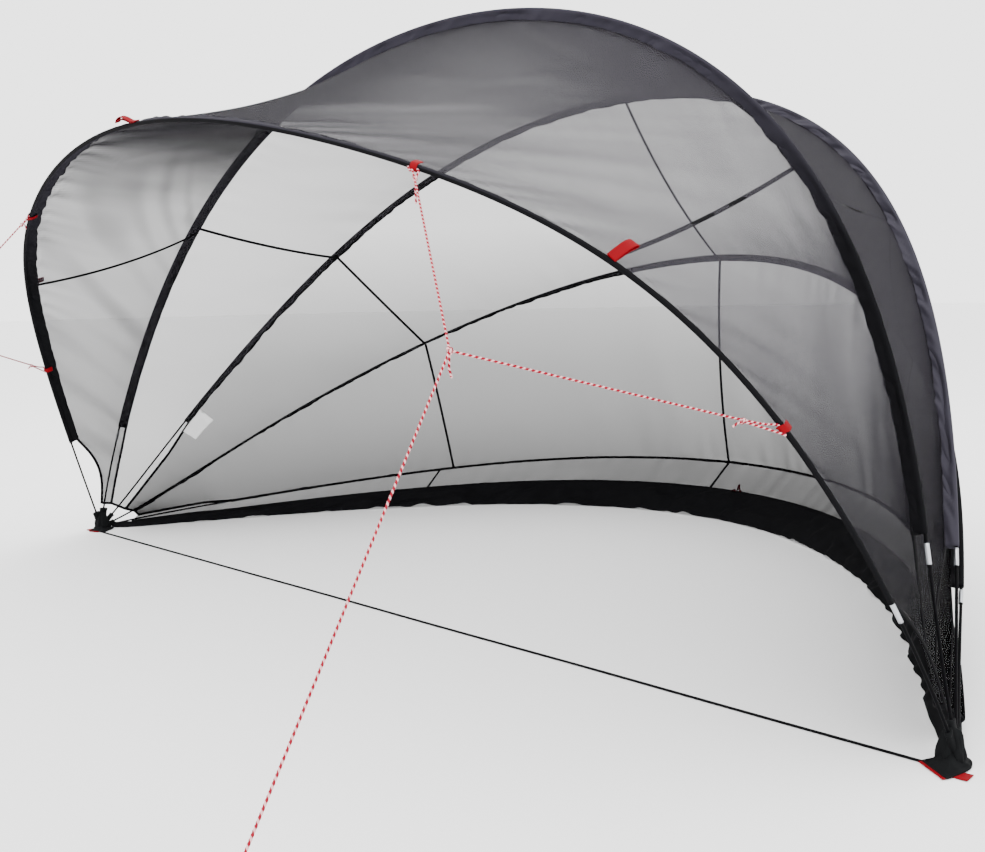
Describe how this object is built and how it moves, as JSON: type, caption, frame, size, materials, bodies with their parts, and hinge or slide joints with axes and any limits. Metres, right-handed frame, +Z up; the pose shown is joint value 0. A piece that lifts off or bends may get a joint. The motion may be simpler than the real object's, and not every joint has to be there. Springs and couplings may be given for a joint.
{
  "type": "pool dome shelter",
  "caption": "Half-dome fabric shelter for a garden pool: hoop poles fan from two ground corners and carry fabric bays, open at the front, with guy lines.",
  "frame": {"origin": "on the ground, on the underside of the ground strap, midway between the two corners", "axes": "+X from the left corner to the right corner, +Y to the closed back, +Z up"},
  "size_m": [5.06, 5.1044, 2.5155],
  "materials": {
    "pole": "black glass-fibre pole with silver metal ferrules",
    "sleeve": "black woven sleeve and strap",
    "roof_fabric": "silver-grey thin woven fabric, translucent",
    "wall_fabric": "grey thin woven fabric, translucent",
    "skirt": "black ruffled skirt",
    "boot": "black heavy fabric",
    "red_webbing": "red woven webbing",
    "rope": "red and white twisted cord",
    "peg": "plain steel"
  },
  "bodies": {
    "root": {"apex_tab": "red_webbing", "corner_boot_left": "boot", "corner_boot_right": "boot", "corner_webbing_left": "red_webbing", "corner_webbing_right": "red_webbing", "foot_wall_left": "wall_fabric", "foot_wall_right": "wall_fabric", "front_bay_roof": "roof_fabric", "front_bay_side_left": "roof_fabric", "front_bay_side_right": "roof_fabric", "front_pole": "pole", "front_sleeve": "sleeve", "ground_strap": "sleeve", "guy_loop_lower_left": "red_webbing", "guy_loop_lower_right": "red_webbing", "guy_loop_upper_left": "red_webbing", "guy_loop_upper_right": "red_webbing", "guy_peg_left": "peg", "guy_peg_right": "peg", "guy_rope_left": "rope", "guy_rope_right": "rope", "hem_tab": "red_webbing", "low_bay_roof_left": "wall_fabric", "low_bay_roof_right": "wall_fabric", "low_bay_side_left": "wall_fabric", "low_bay_side_right": "wall_fabric", "middle_bay_roof_left": "wall_fabric", "middle_bay_roof_right": "wall_fabric", "middle_bay_side_left": "wall_fabric", "middle_bay_side_right": "wall_fabric", "rear_low_pole": "pole", "rear_low_sleeve": "sleeve", "rear_middle_pole": "pole", "rear_middle_sleeve": "sleeve", "rear_upper_pole": "pole", "rear_upper_sleeve": "sleeve", "ridge_pole": "pole", "ridge_sleeve": "sleeve", "seam_tab_left": "red_webbing", "seam_tab_right": "red_webbing", "skirt_left": "skirt", "skirt_right": "skirt", "upper_bay_roof": "roof_fabric", "upper_bay_side_left": "roof_fabric", "upper_bay_side_right": "roof_fabric"}
  },
  "joints": []
}
